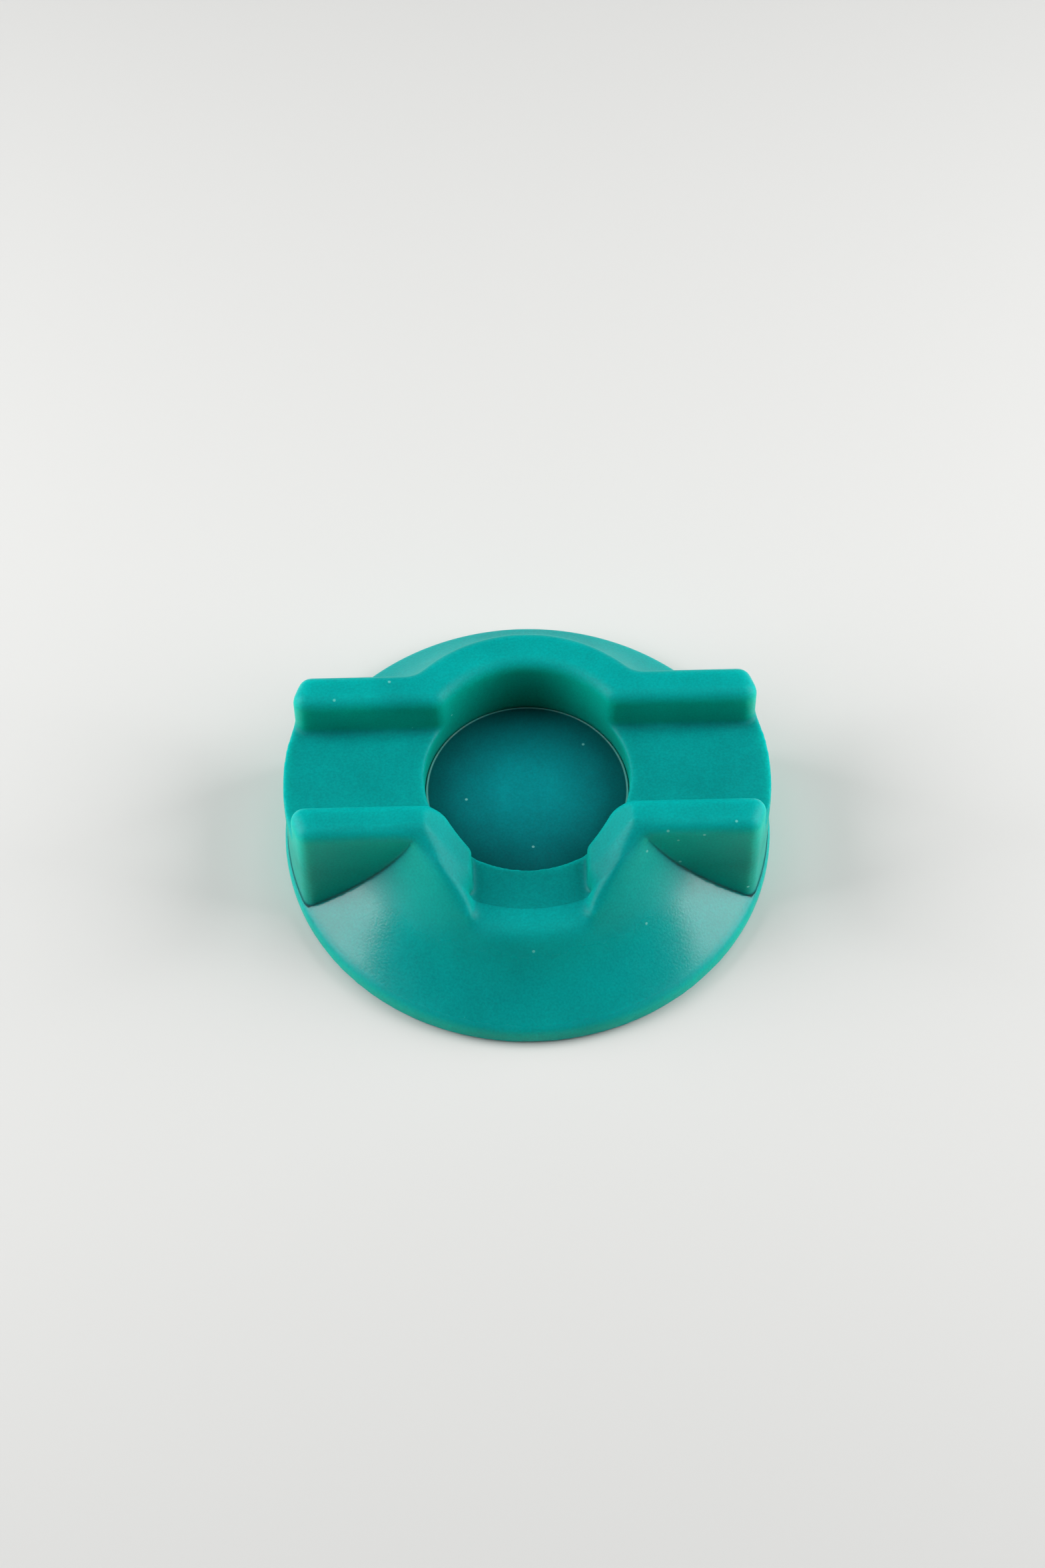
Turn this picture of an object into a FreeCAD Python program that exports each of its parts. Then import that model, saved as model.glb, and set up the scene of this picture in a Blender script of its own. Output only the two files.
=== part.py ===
"""Round three-way air diffuser: a flared skirt, a channelled head and a lift-out disc.

Frame: millimetres, +Z up, origin at the centre of the face that the skirt rests on.
The open channel runs along X, and the front notch opens towards -Y.
"""
import FreeCAD, Part
import math
import os
import re

import Sketcher

os.makedirs("parts", exist_ok=True)
doc = FreeCAD.newDocument("AirDiffuser")

# ------------------------------------------------------------ driving dimensions, mm
SIZES = {
    # flared skirt
    "base_radius": 20.0,
    "rim_height": 1.5,
    "rim_round": 0.8,
    "flare_radius": 19.5,
    "collar_land": 0.15,
    "recess_radius": 15.0,
    "recess_height": 3.5,
    # channelled head
    "hub_radius": 11.9,
    "head_height": 12.2,
    "arm_end_gap": 0.3,
    "arm_half_width": 7.9,
    "channel_half_width": 4.7,
    "channel_floor": 8.4,
    "seat_height": 5.8,
    "pocket_radius": 8.3,
    "ledge_width": 1.2,
    "corner_blend": 2.0,
    "mouth_round": 1.4,
    "edge_round": 1.1,
    # front notch
    "notch_half_width": 4.6,
    "notch_floor": 7.3,
    "notch_wall": 1.2,
    "notch_spread": 3.6,
    "shoulder_round": 0.6,
    "notch_round": 0.8,
    "sill_round": 1.2,
    # lift-out disc
    "pocket_floor": 6.3,
    "disc_thickness": 1.6,
    "disc_clearance": 0.06,
    "disc_edge": 0.2,
    # how far a cut runs past the solid that it cuts
    "cut_past": 1.0,
}

# sizes that follow from the driving ones, mm
WORKED = {
    # an edge is never rounded past the middle of the wall that it belongs to
    "hub_wall": "hub_radius - pocket_radius",
    "rib_wall": "arm_half_width - channel_half_width",
    "soft_edge": "min(edge_round; 0.45 * hub_wall; 0.45 * rib_wall)",
    "soft_shoulder": "min(shoulder_round; 0.2 * hub_wall)",
    # the flare is an arc from the collar's top edge to the rim's, hollow side outwards
    "collar_radius": "hub_radius + collar_land",
    "collar_top": "head_height - soft_edge",
    "flare_run": "base_radius - collar_radius",
    "flare_fall": "collar_top - rim_height",
    "flare_chord": "sqrt(flare_run^2 + flare_fall^2)",
    "flare_bulge": "sqrt(flare_radius^2 - flare_chord^2 / 4)",
    "flare_centre_r": "(base_radius + collar_radius) / 2 + flare_bulge * flare_fall / flare_chord",
    "flare_centre_z": "(rim_height + collar_top) / 2 + flare_bulge * flare_run / flare_chord",
    "seat_radius": "flare_centre_r - sqrt(flare_radius^2 - (flare_centre_z - seat_height)^2)",
    # the arms
    "arm_end_radius": "base_radius - arm_end_gap",
    "arm_reach": "sqrt(arm_end_radius^2 - arm_half_width^2)",
    # the disc and the ledge under it
    "ledge_height": "pocket_floor - disc_thickness",
    "bore_radius": "pocket_radius - ledge_width",
    "disc_radius": "pocket_radius - disc_clearance",
    # every cut runs out above, beside and below the part
    "past_top": "head_height + cut_past",
    "past_rim": "base_radius + cut_past",
    "shoulder_start": "notch_floor + notch_wall",
    "shoulder_slope": "notch_spread / (head_height - shoulder_start)",
    "shoulder_half_width": "notch_half_width + shoulder_slope * (past_top - shoulder_start)",
    # the rounded lip between the notch's wall and its shoulder
    "shoulder_length": "sqrt(1 + shoulder_slope^2)",
    "lip_tangent": "notch_round * (shoulder_length - 1) / shoulder_slope",
    "lip_low": "shoulder_start - lip_tangent",
    "lip_high": "shoulder_start + lip_tangent / shoulder_length",
    "lip_side": "notch_half_width + lip_tangent * shoulder_slope / shoulder_length",
    "lip_centre": "notch_half_width + notch_round",
}

ALIAS = re.compile(r"[a-z]+(?:_[a-z]+)+")


def bound(formula):
    """The formula with each alias pointing at its cell, ready for setExpression."""
    def cell(word):
        home = "Sizes." if word.group() in SIZES else "Worked."
        return home + word.group()
    return ALIAS.sub(cell, formula)


def new_sheet(name, rows, text):
    """A spreadsheet with one aliased cell per row."""
    sheet = doc.addObject("Spreadsheet::Sheet", name)
    for row, (alias, entry) in enumerate(rows.items(), start=1):
        sheet.set("A%d" % row, alias)
        sheet.set("B%d" % row, text(entry))
        sheet.setAlias("B%d" % row, alias)
        doc.recompute()
    return sheet


sizes_sheet = new_sheet("Sizes", SIZES, str)
worked_sheet = new_sheet("Worked", WORKED, lambda formula: "=" + bound(formula))


def number(formula):
    """What a short formula comes to with the sheets' present numbers."""
    def figure(word):
        home = sizes_sheet if word.group() in SIZES else worked_sheet
        return "(%r)" % float(home.get(word.group()))
    return float(FreeCAD.Units.Quantity(ALIAS.sub(figure, formula)).Value)


FLARE_ARC = ("flare_radius", "flare_centre_r", "flare_centre_z")


# ---------------------------------------------------------------- document helpers
def new_body(label):
    body = doc.addObject("PartDesign::Body", label)
    body.Label = label
    return body


def plane(body, role):
    """The body's own origin plane with this role, such as XY_Plane."""
    return next(item for item in body.Origin.OriginFeatures if item.Role == role)


def outline(body, name, role, corners, arcs=None):
    """A closed sketch through corners pinned to formulas.

    arcs maps a corner's place in the list to (radius formula, centre x, centre y) for the
    side that leaves that corner; every other side is straight.
    """
    sketch = body.newObject("Sketcher::SketchObject", name)
    sketch.AttachmentSupport = [(plane(body, role), "")]
    sketch.MapMode = "FlatFace"
    points = [FreeCAD.Vector(number(x), number(y), 0) for x, y in corners]
    arcs = arcs or {}
    starts = []
    for index, start in enumerate(points):
        end = points[(index + 1) % len(points)]
        if index not in arcs:
            side = sketch.addGeometry(Part.LineSegment(start, end), False)
            starts.append((side, 1, 2))
            continue
        radius, centre_x, centre_y = arcs[index]
        centre = FreeCAD.Vector(number(centre_x), number(centre_y), 0)
        turn = (start - centre).cross(end - centre).z
        first, last = (start, end) if turn > 0 else (end, start)
        circle = Part.Circle(centre, FreeCAD.Vector(0, 0, 1), number(radius))
        arc = Part.ArcOfCircle(circle, circle.parameter(first), circle.parameter(last))
        side = sketch.addGeometry(arc, False)
        starts.append((side, 1, 2) if turn > 0 else (side, 2, 1))
        rule = sketch.addConstraint(Sketcher.Constraint("Radius", side, number(radius)))
        sketch.setExpression("Constraints[%d]" % rule, bound(radius))
    for index, (side, head, tail) in enumerate(starts):
        following, start_point, _ = starts[(index + 1) % len(starts)]
        sketch.addConstraint(
            Sketcher.Constraint("Coincident", side, tail, following, start_point))
    for (side, head, tail), (x, y) in zip(starts, corners):
        pin(sketch, side, head, "DistanceX", x)
        pin(sketch, side, head, "DistanceY", y)
    return sketch


def pin(sketch, side, point, direction, formula):
    """Hold one coordinate of a sketch point at a formula, measured from the origin."""
    distance = number(formula)
    origin = (-1, 1)
    if abs(distance) < 1e-9:
        axis = -2 if direction == "DistanceX" else -1
        sketch.addConstraint(Sketcher.Constraint("PointOnObject", side, point, axis))
        return
    ends = origin + (side, point) if distance > 0 else (side, point) + origin
    rule = sketch.addConstraint(Sketcher.Constraint(direction, *ends, abs(distance)))
    sign = "" if distance > 0 else "-1 * "
    sketch.setExpression("Constraints[%d]" % rule, bound("%s(%s)" % (sign, formula)))


def place(feature, body, **offsets):
    """Sit a primitive on the body's XY plane, moved by formulas for x, y and z."""
    feature.AttachmentSupport = [(plane(body, "XY_Plane"), "")]
    feature.MapMode = "FlatFace"
    for axis, formula in offsets.items():
        feature.setExpression("AttachmentOffset.Base." + axis, bound(formula))


def cylinder(body, kind, name, radius, height, bottom):
    feature = body.newObject("PartDesign::%sCylinder" % kind, name)
    place(feature, body, z=bottom)
    feature.setExpression("Radius", bound(radius))
    feature.setExpression("Height", bound(height))
    return feature


def cut_box(body, name, half_length, half_width, bottom, height):
    """A cut centred on the Z axis."""
    feature = body.newObject("PartDesign::SubtractiveBox", name)
    place(feature, body, x="-1 * %s" % half_length, y="-1 * %s" % half_width, z=bottom)
    feature.setExpression("Length", bound("2 * %s" % half_length))
    feature.setExpression("Width", bound("2 * %s" % half_width))
    feature.setExpression("Height", bound(height))
    return feature


def turned(body, kind, name, sketch):
    """A Revolution or Groove of an XZ sketch right round the Z axis."""
    feature = body.newObject("PartDesign::" + kind, name)
    feature.Profile = sketch
    feature.ReferenceAxis = (sketch, ["V_Axis"])
    feature.Angle = 360.0
    return feature


def notch_cut(body):
    """The front notch: an upright slot that opens into slanted shoulders above."""
    corners = [
        ("-1 * notch_half_width", "notch_floor"),
        ("notch_half_width", "notch_floor"),
        ("notch_half_width", "lip_low"),
        ("lip_side", "lip_high"),
        ("shoulder_half_width", "past_top"),
        ("-1 * shoulder_half_width", "past_top"),
        ("-1 * lip_side", "lip_high"),
        ("-1 * notch_half_width", "lip_low"),
    ]
    lips = {
        2: ("notch_round", "lip_centre", "lip_low"),
        6: ("notch_round", "-1 * lip_centre", "lip_low"),
    }
    sketch = outline(body, body.Label + "_notch_outline", "XZ_Plane", corners, lips)
    before = body.Shape.Volume
    feature = body.newObject("PartDesign::Pocket", body.Label + "_notch")
    feature.Profile = sketch
    feature.setExpression("Length", bound("past_rim"))
    feature.Reversed = True
    doc.recompute()
    if body.Shape.Volume >= before:
        raise RuntimeError("the notch of %s cuts nothing" % body.Label)
    return feature


def near(first, second, tolerance=0.02):
    return abs(first - second) < tolerance


def edges_where(body, test):
    """Names of the body's present edges that pass a test on their box and midpoint."""
    names = []
    for index, edge in enumerate(body.Shape.Edges, start=1):
        if edge.Length < 1e-4:
            continue
        middle = edge.valueAt((edge.FirstParameter + edge.LastParameter) / 2)
        if test(edge, edge.BoundBox, middle):
            names.append("Edge%d" % index)
    return names


def rounded(body, name, radius, test, kind="Fillet"):
    """Round or chamfer the edges of the body's tip that pass the test."""
    names = edges_where(body, test)
    if not names:
        raise RuntimeError("%s finds no edge" % name)
    base = body.Tip
    feature = body.newObject("PartDesign::" + kind, name)
    feature.Base = (base, names)
    feature.setExpression("Radius" if kind == "Fillet" else "Size", bound(radius))
    doc.recompute()
    if "Invalid" in feature.State or not body.Shape.isValid():
        raise RuntimeError("%s can't be rounded" % name)
    return feature


def upright(box):
    """True for the box of a straight edge that runs along Z."""
    return box.XLength < 0.01 and box.YLength < 0.01 and box.ZLength > 0.1


def on_shoulder(middle):
    """True for a point on one of the notch's slanted shoulders."""
    half = number("notch_half_width")
    rise = middle.z - number("shoulder_start")
    return rise > 0.3 and near(abs(middle.x), half + number("shoulder_slope") * rise)


# ------------------------------------------------------------------- flared skirt
def flared_skirt():
    """The flared foot: a collar that takes the head's hub, slotted for its arms."""
    body = new_body("flared_skirt")
    profile = outline(body, "skirt_profile", "XZ_Plane", [
        ("hub_radius", "recess_height"),
        ("recess_radius", "recess_height"),
        ("recess_radius", "0"),
        ("base_radius", "0"),
        ("base_radius", "rim_height"),
        ("collar_radius", "collar_top"),
        ("hub_radius", "collar_top"),
    ], arcs={4: FLARE_ARC})
    turned(body, "Revolution", "skirt_turned", profile)
    doc.recompute()
    cut_box(body, "arm_slot", "past_rim", "arm_half_width", "seat_height", "past_top")
    doc.recompute()
    hub = number("hub_radius")
    rounded(body, "slot_corners", "corner_blend", lambda edge, box, middle:
            upright(box) and near(math.hypot(middle.x, middle.y), hub)
            and middle.z > number("seat_height"))
    notch_cut(body)
    rounded(body, "sill", "sill_round", lambda edge, box, middle:
            near(middle.z, number("notch_floor")) and box.ZLength < 0.01
            and middle.y < -1 * number("hub_radius") - 1)
    rounded(body, "rim_rounding", "rim_round", lambda edge, box, middle:
            near(box.ZMin, number("rim_height")) and box.ZLength < 0.01
            and near(math.hypot(middle.x, middle.y), number("base_radius")))
    return body


# ------------------------------------------------------------------ channelled head
def channel_head():
    """The head: a hub with a blind pocket, two ribs either side of a channel, a notch."""
    body = new_body("channel_head")
    slab = outline(body, "arm_outline", "XY_Plane", [
        ("-1 * arm_reach", "-1 * arm_half_width"),
        ("arm_reach", "-1 * arm_half_width"),
        ("arm_reach", "arm_half_width"),
        ("-1 * arm_reach", "arm_half_width"),
    ], arcs={1: ("arm_end_radius", "0", "0"), 3: ("arm_end_radius", "0", "0")})
    pad = body.newObject("PartDesign::Pad", "arm_slab")
    pad.Profile = slab
    pad.setExpression("Length", bound("head_height"))
    doc.recompute()
    cylinder(body, "Additive", "hub", "hub_radius", "head_height - recess_height",
             "recess_height")
    doc.recompute()
    hub = number("hub_radius")
    rounded(body, "hub_blends", "corner_blend", lambda edge, box, middle:
            upright(box) and near(math.hypot(middle.x, middle.y), hub))
    rounded(body, "arm_corners", "soft_edge", lambda edge, box, middle:
            upright(box) and near(math.hypot(middle.x, middle.y), number("arm_end_radius")))
    cut_box(body, "channel", "past_rim", "channel_half_width", "channel_floor", "past_top")
    doc.recompute()
    rounded(body, "channel_corners", "soft_edge", lambda edge, box, middle:
            upright(box) and near(math.hypot(middle.x, middle.y), number("arm_end_radius"))
            and near(abs(middle.y), number("channel_half_width")))
    cylinder(body, "Subtractive", "pocket", "pocket_radius", "past_top", "ledge_height")
    doc.recompute()
    rounded(body, "pocket_mouth", "mouth_round", lambda edge, box, middle:
            upright(box) and near(math.hypot(middle.x, middle.y), number("pocket_radius")))
    rounded(body, "top_edges", "soft_edge", lambda edge, box, middle:
            near(box.ZMin, number("head_height")) and near(box.ZMax, number("head_height")))
    notch_cut(body)
    rounded(body, "shoulder_edges", "soft_shoulder", lambda edge, box, middle:
            middle.y < 0 and on_shoulder(middle))
    saddle = outline(body, "saddle_profile", "XZ_Plane", [
        ("0", "-1 * cut_past"),
        ("0", "recess_height"),
        ("hub_radius", "recess_height"),
        ("hub_radius", "seat_height"),
        ("seat_radius", "seat_height"),
        ("base_radius", "rim_height"),
        ("past_rim", "rim_height"),
        ("past_rim", "-1 * cut_past"),
    ], arcs={4: FLARE_ARC})
    before = body.Shape.Volume
    turned(body, "Groove", "saddle", saddle)
    doc.recompute()
    if body.Shape.Volume >= before:
        raise RuntimeError("the saddle cuts nothing")
    cylinder(body, "Subtractive", "through_bore", "bore_radius", "head_height", "0")
    doc.recompute()
    return body


# --------------------------------------------------------------------- lift-out disc
def pocket_disc():
    """The disc that closes the pocket: it rests on the ledge and lifts straight out."""
    body = new_body("pocket_disc")
    cylinder(body, "Additive", "disc", "disc_radius", "disc_thickness", "ledge_height")
    doc.recompute()
    rounded(body, "disc_edges", "disc_edge", lambda edge, box, middle: box.ZLength < 0.01)
    return body


def check(bodies):
    """Stop if anything in the document failed or a body is not one valid solid."""
    doc.recompute()
    for item in doc.Objects:
        if "Invalid" in item.State or "Error" in item.State:
            raise RuntimeError("%s failed: %s" % (item.Name, item.State))
    for body in bodies:
        shape = body.Shape
        if shape.isNull() or not shape.isValid() or len(shape.Solids) != 1:
            raise RuntimeError("%s is not one valid solid" % body.Label)


bodies = [flared_skirt(), channel_head(), pocket_disc()]
check(bodies)
for body in bodies:
    body.Shape.exportStep("parts/%s.step" % body.Label)
    box = body.Shape.optimalBoundingBox()
    print("%s: %.1f cubic mm, %.2f x %.2f x %.2f mm"
          % (body.Label, body.Shape.Volume, box.XLength, box.YLength, box.ZLength))
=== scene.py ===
# %% [markdown]
# A small air diffuser, moulded in teal polyethylene. It is three pieces: a flared skirt, a
# head with an open channel, and a loose disc that lies in the head's round pocket.
# The frame holds the plain engineering model of the three, at rest, in metres. Everything
# here is built round it, so the frame is loaded first and its box is kept to size the pieces
# by.

# %% Load the frame
import math

import bpy
import numpy as np
from mathutils import Matrix, Vector


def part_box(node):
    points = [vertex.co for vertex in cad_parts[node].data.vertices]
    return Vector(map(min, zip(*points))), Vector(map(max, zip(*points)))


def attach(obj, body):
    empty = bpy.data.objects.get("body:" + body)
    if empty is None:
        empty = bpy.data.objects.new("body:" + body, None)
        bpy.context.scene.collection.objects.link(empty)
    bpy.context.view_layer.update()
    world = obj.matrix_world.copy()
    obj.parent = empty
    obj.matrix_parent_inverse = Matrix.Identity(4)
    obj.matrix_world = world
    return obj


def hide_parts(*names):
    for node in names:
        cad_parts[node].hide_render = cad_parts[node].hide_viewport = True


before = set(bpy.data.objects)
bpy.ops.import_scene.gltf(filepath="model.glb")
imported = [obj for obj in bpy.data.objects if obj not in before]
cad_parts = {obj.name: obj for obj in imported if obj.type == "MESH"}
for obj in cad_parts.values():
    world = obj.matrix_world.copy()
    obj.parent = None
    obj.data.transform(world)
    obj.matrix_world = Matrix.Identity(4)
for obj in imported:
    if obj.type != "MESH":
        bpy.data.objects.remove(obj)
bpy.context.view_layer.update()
MM = 0.001
skirt_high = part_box("flared_skirt")[1]
head_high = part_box("channel_head")[1]
disc_low, disc_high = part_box("pocket_disc")
print("skirt top %.2f mm, head top %.2f mm" % (skirt_high.z / MM, head_high.z / MM))

# %% [markdown]
# Blender's operators act on all that is selected, and the imported pieces arrive selected.
# One helper that clears the selection and picks a single object keeps every later step
# from touching the frame, and another applies the modifiers that a step has stacked up.

# %% Selection and modifier helpers
def only(piece):
    bpy.ops.object.select_all(action="DESELECT")
    piece.select_set(True)
    bpy.context.view_layer.objects.active = piece


def edit(piece, *steps):
    """Run edit-mode operators on the whole of a piece."""
    only(piece)
    bpy.ops.object.mode_set(mode="EDIT")
    bpy.ops.mesh.select_all(action="SELECT")
    for step in steps:
        step()
    bpy.ops.object.mode_set(mode="OBJECT")


def apply_all(piece):
    only(piece)
    for modifier in list(piece.modifiers):
        bpy.ops.object.modifier_apply(modifier=modifier.name)


def merged_copy(node, name):
    """A copy of a frame piece's mesh whose loose triangles share their corners."""
    piece = bpy.data.objects.new(name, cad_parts[node].data.copy())
    bpy.context.scene.collection.objects.link(piece)
    edit(piece, lambda: bpy.ops.mesh.remove_doubles(threshold=0.001 * MM))
    return piece


# %% [markdown]
# A moulded part has no sharp inside corners, because the melt and the cutter that made the
# mould both leave them round. The skirt and the head also run into each other softly where
# the hub comes up through the collar. So both are softened as one form: the two copies are
# joined, rebuilt as one skin of small even faces, and relaxed. Voxel remesh suits this,
# because it swallows the faces that are inside and leaves nothing but the outer skin.

# %% One skin round the skirt and the head
VOXEL = 0.14 * MM

form = merged_copy("flared_skirt", "soft_form")
head_copy = merged_copy("channel_head", "head_copy")
only(form)
head_copy.select_set(True)
bpy.ops.object.join()
skin = form.modifiers.new("skin", "REMESH")
skin.mode = "VOXEL"
skin.voxel_size = VOXEL
apply_all(form)
print("one skin of %d faces" % len(form.data.polygons))

# %% [markdown]
# How far an edge is rounded depends on how long it is relaxed. A vertex group says where:
# the notch's shoulders and its sill are worn into a roll about 2 mm across, the inside
# corners of the channel and the mouth of the pocket are softer than the rest, and the long
# crease where the ribs land on the skirt stays crisp. The flare and its rim are turned
# shapes in the mould, so they are evened out until no step of the skin shows in them.

# %% Helpers that weigh and relax
def corners(piece):
    """The places of a piece's corners, in mm."""
    flat = np.empty(len(piece.data.vertices) * 3, np.float32)
    piece.data.vertices.foreach_get("co", flat)
    return flat.reshape(-1, 3) / MM


def ramp(distance, near, far):
    """1 up to the near distance, 0 beyond the far one, and a smooth fall between."""
    t = np.clip((far - distance) / (far - near), 0, 1)
    return t * t * (3 - 2 * t)


def weigh(piece, name, weights):
    """Store a weight for every corner as a vertex group, in steps of a tenth."""
    group = piece.vertex_groups.new(name=name)
    levels = np.rint(weights * 10).astype(int)
    for level in range(1, 11):
        group.add(np.nonzero(levels == level)[0].tolist(), level / 10, "REPLACE")
    print("%-7s %6d corners" % (name, np.count_nonzero(levels)))


def relax(piece, group, rounds):
    step = piece.modifiers.new("relax", "SMOOTH")
    step.vertex_group = group
    step.factor = 0.5
    step.iterations = rounds


# %% [markdown]
# The zones are told apart by plain distances in millimetres: how far a corner is from the
# upright axis, how high it is, and how far it is from the notch, the channel and the pocket.
# Each zone fades out over a millimetre or so, so that no edge of it shows on the surface.

# %% Zones of the form
NOTCH_HALF = 4.6
NOTCH_FLOOR = 7.3
SHOULDER_FOOT = 8.5
SHOULDER_SLOPE = 3.6 / 3.7
SHOULDER_REACH = 12.8
SILL_REACH = 13.6
CHANNEL_HALF = 4.7
CHANNEL_FLOOR = 8.4
POCKET_RADIUS = 8.3
RIB_FACE = 7.9

x, y, z = corners(form).T
reach = np.hypot(x, y)
front = ramp(y, -8.2, -6.6)

off_shoulder = np.abs(np.abs(x) - NOTCH_HALF - SHOULDER_SLOPE * (z - SHOULDER_FOOT))
outer = ramp(np.abs(reach - SHOULDER_REACH), 1.4, 2.8)
shoulder = ramp(off_shoulder, 1.4, 2.6) * ramp(-z, -8.6, -7.6)
sill = ramp(np.abs(z - NOTCH_FLOOR), 0.5, 1.4) * ramp(np.abs(x), 4.0, 5.2) * ramp(
    np.abs(reach - SILL_REACH), 0.8, 1.8)
weigh(form, "rolled", front * np.maximum(outer * shoulder, 0.5 * sill))

channel_corner = ramp(np.hypot(np.abs(y) - CHANNEL_HALF, z - CHANNEL_FLOOR), 0.6, 1.2) * ramp(
    -reach, -9.0, -8.4)
pocket_lip = ramp(np.hypot(reach - POCKET_RADIUS, z - CHANNEL_FLOOR), 0.5, 1.0) * ramp(
    np.abs(y), 5.0, 6.0)
notch_corner = ramp(np.hypot(np.abs(x) - NOTCH_HALF, z - NOTCH_FLOOR), 0.5, 1.0) * front
weigh(form, "soft", np.maximum.reduce([channel_corner, pocket_lip, notch_corner]))

crease = ramp(np.abs(np.abs(y) - RIB_FACE), 0.25, 0.6) * ramp(z, 8.0, 9.0) * ramp(
    -reach, -13.0, -12.0)
weigh(form, "even", 1 - 0.7 * crease)

off_arm = ramp(-np.abs(y), -9.0, -8.4)
flare = ramp(-reach, -14.4, -13.4) * ramp(-z, -2.2, -1.6) * off_arm
rim = ramp(z, 1.6, 2.2) * np.maximum(off_arm, ramp(z, 0.9, 1.3))
weigh(form, "turned", np.maximum(flare, 0.3 * rim))

# %% [markdown]
# The more rounds a zone is relaxed for, the softer it gets. Eight rounds take the steps of
# the remesh off the whole form, and the notch's shoulders take three hundred and sixty.

# %% Relax the form
for zone, rounds in (("even", 8), ("turned", 100), ("soft", 30), ("rolled", 360)):
    relax(form, zone, rounds)
apply_all(form)

# %% [markdown]
# The relaxed form is now parted again along the real joint. The space that belongs to the
# head is modelled as a solid of its own: a straight hub, and a slab for the two arms that
# stops where it lands on the skirt. What of the form lies in that space is the head, and
# the rest is the skirt, so the two meet face to face with no gap between them.

# %% Sizes of the joint
HUB_RADIUS = head_high.y + 0.05 * MM
ARM_HALF = 7.95 * MM
SEAT = 5.8 * MM
RECESS = 3.5 * MM
RIM = 1.5 * MM
FLARE = 19.5 * MM
COLLAR = head_high.y + 0.15 * MM
COLLAR_TOP = skirt_high.z
BASE = skirt_high.x


def flare_centre():
    """Middle of the arc that the skirt's outside follows, as radius and height."""
    run, fall = BASE - COLLAR, COLLAR_TOP - RIM
    chord = math.hypot(run, fall)
    bulge = math.sqrt(FLARE ** 2 - chord ** 2 / 4)
    return ((BASE + COLLAR) / 2 + bulge * fall / chord,
            (RIM + COLLAR_TOP) / 2 + bulge * run / chord)


def flare_reach(height):
    """How far the flare stands from the upright axis at a height."""
    across, up = flare_centre()
    return across - math.sqrt(FLARE ** 2 - (up - height) ** 2)


print("the flare is %.2f mm from the axis at the seat" % (flare_reach(SEAT) / MM))

# %% [markdown]
# The landing of the arms is the flare itself, so its solid is drawn up ring by ring from a
# disc: each extrude raises the last ring and each resize brings it in to the flare's arc.

# %% The landing under the arms
STEPS = 24
FOOT_BOTTOM = -1 * MM

bpy.ops.object.select_all(action="DESELECT")
bpy.ops.mesh.primitive_circle_add(vertices=256, radius=BASE, fill_type="NGON",
                                  location=(0, 0, FOOT_BOTTOM))
foot = bpy.context.object
foot.name = "arm_landing"
bpy.ops.object.transform_apply(location=True, rotation=False, scale=False)
bpy.ops.object.mode_set(mode="EDIT")
bpy.ops.mesh.select_all(action="SELECT")
rings = [(BASE, RIM)]
for part in range(1, STEPS + 1):
    level = RIM + (SEAT - RIM) * part / STEPS
    rings.append((flare_reach(level), level))
radius, height = BASE, FOOT_BOTTOM
for next_radius, next_height in rings:
    bpy.ops.mesh.extrude_region_move(
        TRANSFORM_OT_translate={"value": (0, 0, next_height - height)})
    bpy.ops.transform.resize(value=(next_radius / radius, next_radius / radius, 1),
                             center_override=(0, 0, next_height))
    radius, height = next_radius, next_height
bpy.ops.mesh.select_all(action="SELECT")
bpy.ops.mesh.normals_make_consistent(inside=False)
bpy.ops.object.mode_set(mode="OBJECT")
print("the landing has %d faces" % len(foot.data.polygons))

# %% [markdown]
# The slab of the arms is a plain block that runs past the part on every free side, less the
# landing. The hub is a plain cylinder from the top of the recess upwards. One union makes
# them the head's space.

# %% The space that the head takes
def boolean(piece, tool, operation):
    step = piece.modifiers.new(operation.lower(), "BOOLEAN")
    step.operation = operation
    step.solver = "MANIFOLD"
    step.object = tool
    apply_all(piece)


HUB_HEIGHT = 16 * MM

bpy.ops.mesh.primitive_cube_add(size=1, location=(0, 0, 10 * MM),
                                scale=(50 * MM, 2 * ARM_HALF, 21 * MM))
space = bpy.context.object
space.name = "head_space"
bpy.ops.object.transform_apply(location=True, rotation=True, scale=True)
boolean(space, foot, "DIFFERENCE")
bpy.ops.mesh.primitive_cylinder_add(vertices=256, radius=HUB_RADIUS, depth=HUB_HEIGHT,
                                    location=(0, 0, RECESS + HUB_HEIGHT / 2))
hub = bpy.context.object
bpy.ops.object.transform_apply(location=True, rotation=False, scale=False)
boolean(space, hub, "UNION")
print("the head's space has %d faces" % len(space.data.polygons))

# %% [markdown]
# One boolean takes the head's space away from the form and leaves the skirt, and another
# keeps only what lies in it. The same cutter serves both, so the two halves of the joint
# are the same surface.

# %% Part the form into skirt and head
skirt = form.copy()
skirt.data = form.data.copy()
skirt.name = "soft_skirt"
bpy.context.scene.collection.objects.link(skirt)
boolean(skirt, space, "DIFFERENCE")
head = form
head.name = "soft_head"
boolean(head, space, "INTERSECT")
for tool in (foot, hub, space):
    bpy.data.objects.remove(tool)
for piece in (skirt, head):
    print(piece.name, "has", len(piece.data.polygons), "faces")

# %% [markdown]
# Flat walls need far fewer faces than rolled edges do. A decimate step merges faces where
# the surface bends least, which keeps each piece light without touching its outline. It
# works on triangles, and a wall that the cut left as one face of some eight hundred corners
# doesn't split into triangles quite cleanly: a few slivers fold over each other. So the
# triangles are made first, and the corners of such slivers are welded. They are easy to
# find, because only there is an edge shared by more or fewer than two faces.

# %% Thin out the faces
MOST_TRIANGLES = 170000
SLIVER = 0.06 * MM
SMOOTH_ANGLE = math.radians(35)


def triangles(piece):
    return sum(len(face.vertices) - 2 for face in piece.data.polygons)


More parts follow.
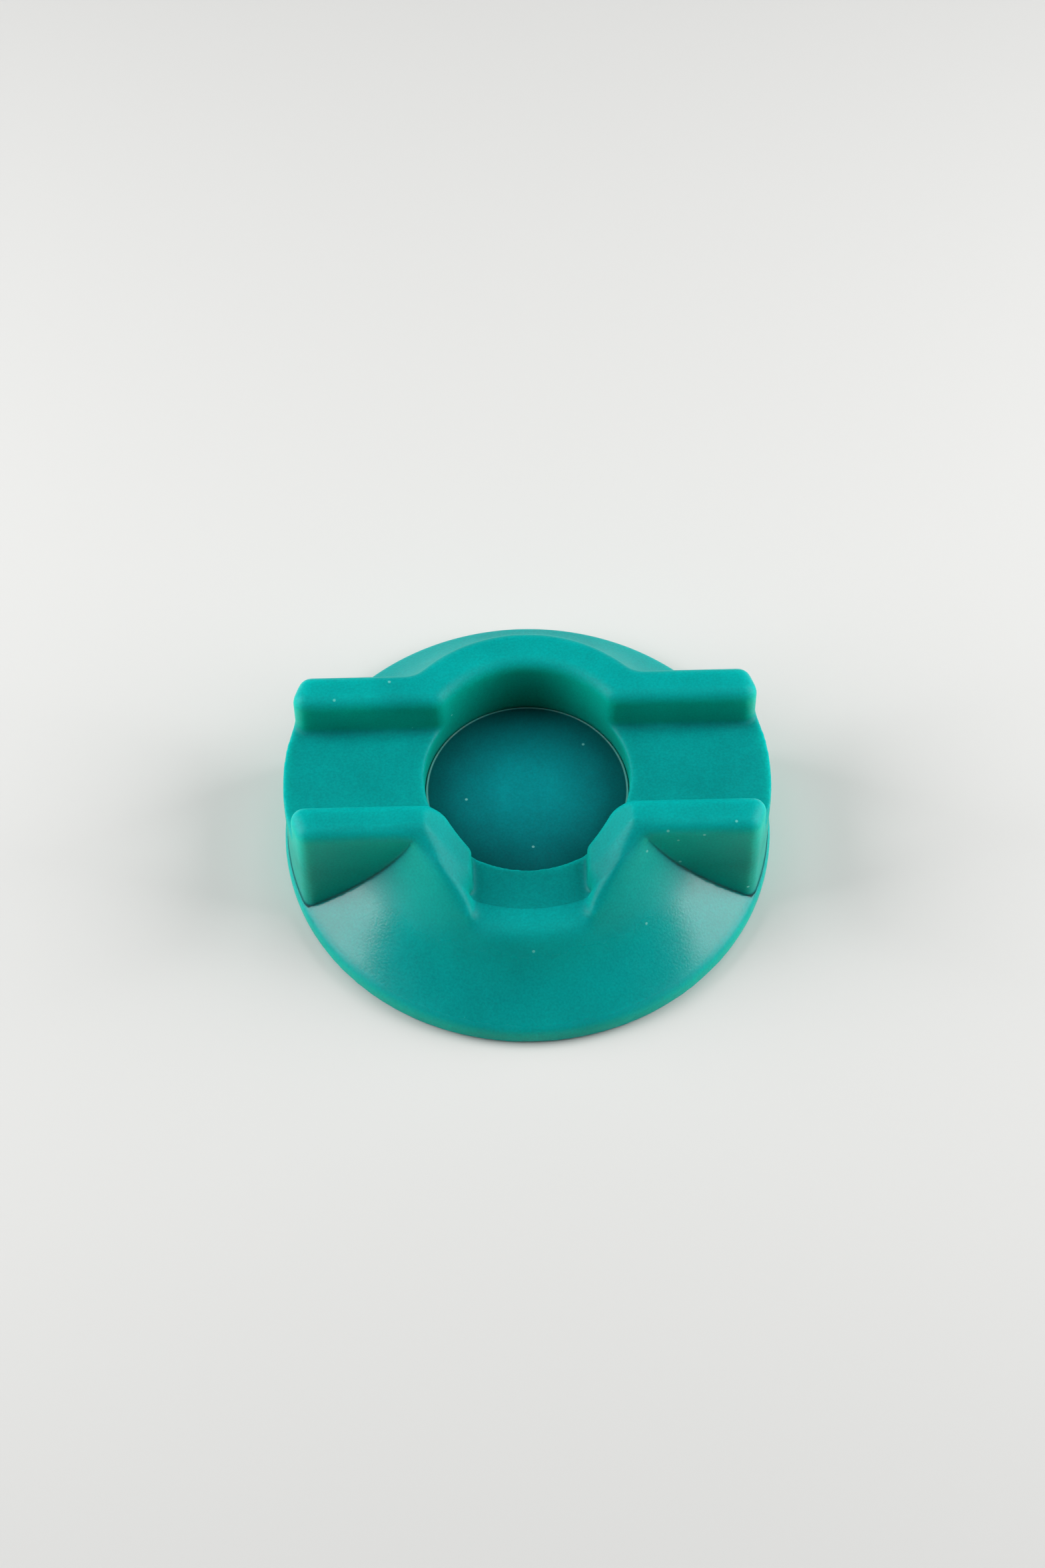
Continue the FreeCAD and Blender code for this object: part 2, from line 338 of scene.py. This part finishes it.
def torn_edges(piece):
    """How many edges aren't shared by just two faces."""
    edge_of = np.empty(len(piece.data.loops), np.int32)
    piece.data.loops.foreach_get("edge_index", edge_of)
    shared = np.bincount(edge_of, minlength=len(piece.data.edges))
    return np.count_nonzero(shared != 2)


def weld_slivers():
    bpy.ops.mesh.select_mode(type="VERT")
    bpy.ops.mesh.select_all(action="DESELECT")
    bpy.ops.mesh.select_non_manifold(extend=False, use_non_contiguous=False)
    bpy.ops.mesh.remove_doubles(threshold=SLIVER)
    bpy.ops.mesh.select_all(action="SELECT")


for piece in (skirt, head):
    piece.vertex_groups.clear()
    edit(piece, bpy.ops.mesh.quads_convert_to_tris, weld_slivers, weld_slivers)
    thin = piece.modifiers.new("thin", "DECIMATE")
    thin.ratio = min(1.0, MOST_TRIANGLES / triangles(piece))
    apply_all(piece)
    bpy.ops.object.shade_smooth_by_angle(angle=SMOOTH_ANGLE)
    print(piece.name, "keeps", triangles(piece), "triangles,", torn_edges(piece), "torn edges")

# %% [markdown]
# The disc is a plain turned shape that drops into the pocket. It is modelled as on a lathe:
# a round blank, drawn in a little towards its rim so that the face is very slightly
# dished, and a small bevel where the two faces turn into the edge.

# %% The lift-out disc
DISC_RADIUS = disc_high.x
DISH = ((0.5, 0.0), (1.6, -0.05), (2.4, -0.03), (2.0, -0.01))

bpy.ops.object.select_all(action="DESELECT")
bpy.ops.mesh.primitive_cylinder_add(vertices=256, radius=DISC_RADIUS,
                                    depth=disc_high.z - disc_low.z,
                                    location=(0, 0, (disc_high.z + disc_low.z) / 2))
disc = bpy.context.object
disc.name = "soft_disc"
bpy.ops.object.transform_apply(location=True, rotation=False, scale=False)
bpy.ops.object.mode_set(mode="EDIT")
bpy.ops.mesh.select_mode(type="FACE")
bpy.ops.mesh.select_all(action="DESELECT")
bpy.ops.object.mode_set(mode="OBJECT")
for face in disc.data.polygons:
    face.select = face.normal.z > 0.9
bpy.ops.object.mode_set(mode="EDIT")
for inset, drop in DISH:
    bpy.ops.mesh.inset(thickness=inset * MM, depth=drop * MM)
bpy.ops.object.mode_set(mode="OBJECT")
edge = disc.modifiers.new("edge", "BEVEL")
edge.width = 0.1 * MM
edge.segments = 4
edge.limit_method = "ANGLE"
edge.angle_limit = math.radians(40)
apply_all(disc)
bpy.ops.object.shade_smooth_by_angle(angle=SMOOTH_ANGLE)
print("disc", triangles(disc), "triangles, top at %.2f mm" % (disc_high.z / MM))

# %% [markdown]
# Each piece now takes its place on the moving frame. The skirt and the head are one body,
# and the disc is the other, which slides straight up.

# %% Ride the bodies
for piece, node, body, slot in (
    (skirt, "flared_skirt", "diffuser", "skirt"),
    (head, "channel_head", "diffuser", "head"),
    (disc, "pocket_disc", "disc", "disc"),
):
    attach(piece, body)
    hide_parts(node)
    print("%s rides %s in place of %s" % (piece.name, body, node))

# %% [markdown]
# The plastic is polyethylene tinted teal: waxy, a little translucent, moulded against a
# finely blasted steel surface. Light goes a millimetre or so into it, so thin edges glow
# and thick walls turn a deeper green; painted shade and a painted green tint on the walls
# add to this. The blasting leaves a satin grain, and handling leaves a few specks of dust.
# All of it is made of nodes, so two helpers come first: one turns a hex colour into the
# linear light that a shader works in, and one adds a node.

# %% Colour and node helpers
MIX_A, MIX_B, MIXED = 6, 7, 2  # the colour sockets of a Mix node, by number


def linear(code):
    """An sRGB hex colour as linear red, green, blue and alpha."""
    shades = [int(code[i:i + 2], 16) / 255 for i in (0, 2, 4)]
    return tuple(s / 12.92 if s <= 0.04045 else ((s + 0.055) / 1.055) ** 2.4
                 for s in shades) + (1.0,)


def add(tree, kind, settings=None, inputs=None):
    """Add a node, set its properties, and set or link its inputs."""
    node = tree.nodes.new(kind)
    for name, value in (settings or {}).items():
        setattr(node, name, value)
    for name, value in (inputs or {}).items():
        if isinstance(value, bpy.types.NodeSocket):
            tree.links.new(value, node.inputs[name])
        else:
            node.inputs[name].default_value = value
    return node


# %% [markdown]
# Most of what varies over a moulded part follows from where a point is: how far out, how
# high, and whether its face is level or upright. These are measured once, in the piece's own
# coordinates, so that they stay put when the piece moves.

# %% Where a point of the surface lies
def measures(tree):
    """Place, reach from the upright axis, y, z, and 0 on upright faces to 1 on level ones."""
    place = add(tree, "ShaderNodeTexCoord").outputs["Object"]
    flat = add(tree, "ShaderNodeVectorMath", {"operation": "MULTIPLY"},
               {0: place, 1: (1, 1, 0)})
    reach = add(tree, "ShaderNodeVectorMath", {"operation": "LENGTH"},
                {0: flat.outputs["Vector"]})
    parts = add(tree, "ShaderNodeSeparateXYZ", None, {"Vector": place})
    facing = add(tree, "ShaderNodeNewGeometry")
    lie = add(tree, "ShaderNodeSeparateXYZ", None, {"Vector": facing.outputs["Normal"]})
    upward = add(tree, "ShaderNodeMath", {"operation": "ABSOLUTE"}, {0: lie.outputs["Z"]})
    level = add(tree, "ShaderNodeMapRange", None,
                {"Value": upward.outputs["Value"], "From Min": 0.0, "From Max": 0.75})
    return {"place": place, "reach": reach.outputs["Value"], "y": parts.outputs["Y"],
            "z": parts.outputs["Z"], "level": level.outputs["Result"]}


# %% [markdown]
# Pigment is never mixed quite evenly, so three near shades lie in soft clouds. Over them goes
# the speckle of the blasted grain, which also gives the pits for the bump.

# %% Pigment and grain
CLOUD = 6 * MM
SPECKLE = 0.18 * MM  # about 0.05 mm on the real thing, drawn coarser so that it shows


def pigment(tree, at, shades):
    """The tinted colour, and the height of the grain."""
    clouds = add(tree, "ShaderNodeTexNoise", None,
                 {"Vector": at["place"], "Scale": 1 / CLOUD, "Detail": 3.0, "Roughness": 0.5})
    tint = add(tree, "ShaderNodeValToRGB", None, {"Fac": clouds.outputs["Fac"]})
    stops = tint.color_ramp.elements
    stops[0].position, stops[0].color = 0.30, linear(shades[0])
    stops[1].position, stops[1].color = 0.70, linear(shades[2])
    stops.new(0.5).color = linear(shades[1])
    speckle = add(tree, "ShaderNodeTexNoise", None,
                  {"Vector": at["place"], "Scale": 1 / SPECKLE, "Detail": 2.0})
    strength = add(tree, "ShaderNodeMapRange", None,
                   {"Value": speckle.outputs["Fac"], "From Min": 0.3, "From Max": 0.7,
                    "To Min": 0.90, "To Max": 1.10})
    grained = add(tree, "ShaderNodeVectorMath", {"operation": "SCALE"},
                  {0: tint.outputs["Color"], "Scale": strength.outputs["Result"]})
    return grained.outputs["Vector"], speckle.outputs["Fac"]


# %% [markdown]
# Painted shade: the colour is darker low down, in the channel and the recesses, where shade
# falls. Upright walls get a greener painted tint for the shade on them, and level faces a
# slightly bluer one. The disc gets painted shade towards its edge, under the pocket's walls.

# %% Painted shade and tint
# painted tint for shade and light: greener on upright walls, a touch bluer on level faces
UPRIGHT_SHADE_TINT = (1.0, 1.08, 0.88, 1.0)
LEVEL_LIGHT_TINT = (1.0, 0.97, 1.0, 1.0)


def painted_shade(tree, at, colour, low, rim):
    """The colour with painted shade: times low at the foot of the walls, times rim away from
    the middle, and tinted by how the face lies.
    """
    # painted tint, mixed by how far the face is level or upright
    facing_tint = add(tree, "ShaderNodeMix", {"data_type": "RGBA"},
               {"Factor": at["level"], MIX_A: UPRIGHT_SHADE_TINT, MIX_B: LEVEL_LIGHT_TINT})
    facing_tinted = add(tree, "ShaderNodeVectorMath", {"operation": "MULTIPLY"},
                {0: colour, 1: facing_tint.outputs[MIXED]})
    # painted shade: darker low down, where the channel and the recesses are in shade
    depth = add(tree, "ShaderNodeMapRange", None,
                {"Value": at["z"], "From Min": 6.6 * MM, "From Max": 11.0 * MM,
                 "To Min": low, "To Max": 1.0})
    # painted shade on the disc, darker towards its edge where the pocket's walls shade it
    rim_shade = add(tree, "ShaderNodeMapRange", None,
               {"Value": at["reach"], "From Min": 2.0 * MM, "From Max": 8.0 * MM,
                "To Min": 1.0, "To Max": rim})
    # thickness here is the painted shade factor, low down and towards the disc's edge
    thickness = add(tree, "ShaderNodeMath", {"operation": "MULTIPLY"},
                    {0: depth.outputs["Result"], 1: rim_shade.outputs["Result"]})
    scaled = add(tree, "ShaderNodeVectorMath", {"operation": "SCALE"},
                 {0: facing_tinted.outputs["Vector"], "Scale": thickness.outputs["Value"]})
    return scaled.outputs["Vector"]


# %% [markdown]
# Static draws dust to polyethylene: pale specks 0.2 to 0.3 mm across, a few to each square
# centimetre. The disc's top face gets a painted highlight over the last fifth of a millimetre
# of its edge.

# %% Dust and the painted edge highlight
DUST_APART = 2.6 * MM


def dusted(tree, at, colour):
    dust = add(tree, "ShaderNodeTexVoronoi", None,
               {"Vector": at["place"], "Scale": 1 / DUST_APART, "Randomness": 1.0})
    speck = add(tree, "ShaderNodeMapRange", None,
                {"Value": dust.outputs["Distance"], "From Min": 0.035, "From Max": 0.055,
                 "To Min": 0.5, "To Max": 0.0})
    return add(tree, "ShaderNodeMix", {"data_type": "RGBA"},
               {"Factor": speck.outputs["Result"], MIX_A: colour,
                MIX_B: linear("8fe6dc")}).outputs[MIXED]


def painted_edge_highlight(tree, at, colour, highlight_reach):
    """The colour with a painted highlight: pale beyond the given reach wherever the face is
    level.
    """
    # painted highlight along the disc's top edge
    beyond = add(tree, "ShaderNodeMapRange", None,
                 {"Value": at["reach"], "From Min": highlight_reach,
                  "From Max": highlight_reach + 0.08 * MM, "To Min": 0.0, "To Max": 0.9})
    edge_highlight = add(tree, "ShaderNodeMath", {"operation": "MULTIPLY"},
                   {0: beyond.outputs["Result"], 1: at["level"]})
    return add(tree, "ShaderNodeMix", {"data_type": "RGBA"},
               {"Factor": edge_highlight.outputs["Value"], MIX_A: colour,
                MIX_B: linear("7fe0d6")}).outputs[MIXED]


# %% [markdown]
# The mould's blasting gives the outer, front part of the flare a frosted sheen. The rest is
# waxy and dull, and so is the rim. Everywhere the gloss varies a little over 2 mm, as a
# handled surface does.

# %% Shine
WAXY_SHINE = 0.12
BLASTED_SHINE = 0.4
HANDLED = 2 * MM


def frosting(tree, at):
    """1 on the outer, front part of the flare and 0 elsewhere."""
    outward = add(tree, "ShaderNodeMapRange", {"interpolation_type": "SMOOTHSTEP"},
                  {"Value": at["reach"], "From Min": 13.0 * MM, "From Max": 16.5 * MM})
    forward = add(tree, "ShaderNodeMapRange", {"interpolation_type": "SMOOTHSTEP"},
                  {"Value": at["y"], "From Min": 2.0 * MM, "From Max": 7.0 * MM,
                   "To Min": 1.0, "To Max": 0.0})
    off_rim = add(tree, "ShaderNodeMapRange", {"interpolation_type": "SMOOTHSTEP"},
                  {"Value": at["z"], "From Min": 1.2 * MM, "From Max": 2.2 * MM})
    faced = add(tree, "ShaderNodeMath", {"operation": "MULTIPLY"},
                {0: forward.outputs["Result"], 1: off_rim.outputs["Result"]})
    return add(tree, "ShaderNodeMath", {"operation": "MULTIPLY"},
               {0: outward.outputs["Result"], 1: faced.outputs["Value"]}).outputs["Value"]


def shine(tree, at, waxy, blasted):
    """The roughness, and the strength of the shine, which is one number on a waxy piece."""
    roughness, strength = waxy, WAXY_SHINE
    if blasted:
        frosted = frosting(tree, at)
        roughness = add(tree, "ShaderNodeMapRange", None,
                        {"Value": frosted, "To Min": waxy,
                         "To Max": blasted}).outputs["Result"]
        strength = add(tree, "ShaderNodeMapRange", None,
                       {"Value": frosted, "To Min": WAXY_SHINE,
                        "To Max": BLASTED_SHINE}).outputs["Result"]
    patches = add(tree, "ShaderNodeTexNoise", None,
                  {"Vector": at["place"], "Scale": 1 / HANDLED, "Detail": 4.0})
    uneven = add(tree, "ShaderNodeMapRange", None,
                 {"Value": patches.outputs["Fac"], "From Min": 0.3, "From Max": 0.7,
                  "To Min": -0.03, "To Max": 0.03})
    total = add(tree, "ShaderNodeMath", {"operation": "ADD"},
                {0: roughness, 1: uneven.outputs["Result"]})
    return total.outputs["Value"], strength


# %% [markdown]
# Light spreads 2.4 mm inside the plastic, and green and blue go much further than red. It
# can't cross the joint round the hub, where it would leave a dark line, so the spread is
# drawn in close to the joint.

# %% Light inside the plastic
SPREAD = 2.4 * MM
SPREAD_AT_JOINT = 0.15 * MM


def spread_near_joint(tree, at):
    off_joint = add(tree, "ShaderNodeMath", {"operation": "SUBTRACT"},
                    {0: at["reach"], 1: HUB_RADIUS})
    to_joint = add(tree, "ShaderNodeMath", {"operation": "ABSOLUTE"},
                   {0: off_joint.outputs["Value"]})
    return add(tree, "ShaderNodeMapRange", {"interpolation_type": "SMOOTHSTEP"},
               {"Value": to_joint.outputs["Value"], "From Min": 0.1 * MM,
                "From Max": 2.5 * MM, "To Min": SPREAD_AT_JOINT,
                "To Max": SPREAD}).outputs["Result"]


# %% [markdown]
# One function puts these together for all three pieces, since they are one plastic. What
# differs is the painted shade, the shine, the grain, and whether the piece has a painted
# edge highlight or meets another at the hub's joint.

# %% Teal polyethylene
def teal_polyethylene(name, shades, low, waxy, grain, rim=1.0, blasted=None, highlight_reach=None,
                      joined=True):
    material = bpy.data.materials.new(name)
    material.use_nodes = True
    tree = material.node_tree
    tree.nodes.clear()
    at = measures(tree)
    colour, speckle = pigment(tree, at, shades)
    colour = dusted(tree, at, painted_shade(tree, at, colour, low, rim))
    if highlight_reach:
        colour = painted_edge_highlight(tree, at, colour, highlight_reach)
    roughness, strength = shine(tree, at, waxy, blasted)
    pits = add(tree, "ShaderNodeBump", None,
               {"Strength": grain, "Distance": 0.03 * MM, "Height": speckle})
    body = add(tree, "ShaderNodeBsdfPrincipled", None, {
        "Base Color": colour,
        "Roughness": roughness,
        "Normal": pits.outputs["Normal"],
        "IOR": 1.51,
        "Specular IOR Level": strength,
        "Subsurface Weight": 1.0,
        "Subsurface Radius": (0.10, 1.0, 0.85),
        "Subsurface Scale": spread_near_joint(tree, at) if joined else SPREAD,
    })
    add(tree, "ShaderNodeOutputMaterial", None, {"Surface": body.outputs["BSDF"]})
    print(name, "has", len(tree.nodes), "nodes")
    return material


# %% [markdown]
# The head has more painted shade low down, inside its channel, and the disc is thinner and
# bluer than both, with painted shade towards its edge. The engineering pieces, which stay
# hidden, take the skirt's finish.

# %% Finishes of the three pieces
TEAL = ("00a29d", "00aaa5", "00b1ab")
BLUER_TEAL = ("00898c", "009093", "00979a")
FINISHES = {
    skirt: teal_polyethylene("blasted_teal_polyethylene", TEAL, low=0.95, waxy=0.46,
                             grain=0.4, blasted=0.20),
    head: teal_polyethylene("waxy_teal_polyethylene", TEAL, low=0.70, waxy=0.46, grain=0.3),
    # the disc has painted shade towards its edge (rim) and a painted highlight along its top
    # edge
    disc: teal_polyethylene("thin_teal_polyethylene", BLUER_TEAL, low=0.95, waxy=0.50,
                            grain=0.3, rim=0.46, highlight_reach=DISC_RADIUS - 0.22 * MM,
                            joined=False),
}
for piece, finish in FINISHES.items():
    piece.data.materials.clear()
    piece.data.materials.append(finish)
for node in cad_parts.values():
    node.data.materials.clear()
    node.data.materials.append(FINISHES[skirt])

# %% [markdown]
# The stage is a plain pale floor, far larger than the part, so that no edge shows.

# %% Floor
FLOOR_SIZE = 6

bpy.ops.object.select_all(action="DESELECT")
bpy.ops.mesh.primitive_plane_add(size=FLOOR_SIZE, location=(0, 0, 0))
floor = bpy.context.object
floor.name = "floor"
paper = bpy.data.materials.new("pale_paper")
paper.use_nodes = True
matt = paper.node_tree.nodes["Principled BSDF"]
matt.inputs["Base Color"].default_value = linear("e4e4e2")
matt.inputs["Roughness"].default_value = 0.85
floor.data.materials.append(paper)
print("floor %d m across" % FLOOR_SIZE)

# %% [markdown]
# A tall softbox stands on each side. They light the rib ends and the shoulders, and their
# reflection in the skirt's blasted surface makes its pale zones at the front left and front
# right. A soft light overhead, a little behind, fills the level faces and leaves the faces
# towards the front deep in colour. It is kept out of reflections, so that it adds no glare.

# %% Lights
def softbox(name, place, aim, width, height, power):
    lamp = bpy.data.lights.new(name, "AREA")
    lamp.shape = "RECTANGLE"
    lamp.size = width
    lamp.size_y = height
    lamp.energy = power
    stand = bpy.data.objects.new(name, lamp)
    bpy.context.scene.collection.objects.link(stand)
    stand.location = place
    stand.rotation_euler = (Vector(aim) - Vector(place)).to_track_quat("-Z", "Y").to_euler()
    return stand


overhead = softbox("overhead", place=(0, 0.08, 0.30), aim=(0, 0, 0),
                   width=0.20, height=0.14, power=0.20)
overhead.visible_glossy = False
for name, side in (("left_softbox", -1), ("right_softbox", 1)):
    softbox(name, place=(side * 0.22, 0.015, 0.16), aim=(0, 0.015, 0.16),
            width=0.18, height=0.30, power=0.86)
world = bpy.data.worlds.new("studio")
world.use_nodes = True
background = world.node_tree.nodes["Background"]
background.inputs["Color"].default_value = (1, 1, 1, 1)
background.inputs["Strength"].default_value = 0.06
bpy.context.scene.world = world
print("lamps:", ", ".join(lamp.name for lamp in bpy.data.lights))

# %% [markdown]
# The camera looks down at the front at 56 degrees from a quarter of a metre away, with a
# normal lens, and is turned by well under a degree.

# %% Camera
LENS = 71.31
DISTANCE = 13 * BASE
ELEVATION = 0.9799
SWING = -0.0133
TILT = -0.0123
TARGET = Vector((-0.0156, 0.2394, 0)) * BASE
back = Vector((math.sin(SWING) * math.cos(ELEVATION),
               -math.cos(SWING) * math.cos(ELEVATION), math.sin(ELEVATION)))
eye = TARGET + DISTANCE * back
right = (-back).cross(Vector((0, 0, 1))).normalized()
above = right.cross(-back)
across = math.cos(TILT) * right + math.sin(TILT) * above
upward = math.cos(TILT) * above - math.sin(TILT) * right
camera_data = bpy.data.cameras.new("camera")
camera_data.lens = LENS
camera_data.sensor_width = 36
camera_data.clip_start = 0.001
camera = bpy.data.objects.new("camera", camera_data)
bpy.context.scene.collection.objects.link(camera)
camera.matrix_world = Matrix((
    (across.x, upward.x, back.x, eye.x),
    (across.y, upward.y, back.y, eye.y),
    (across.z, upward.z, back.z, eye.z),
    (0, 0, 0, 1),
))
bpy.context.scene.camera = camera
bpy.context.scene.view_settings.view_transform = "Standard"
print("camera %.3f m away, %.1f degrees up" % (DISTANCE, math.degrees(ELEVATION)))
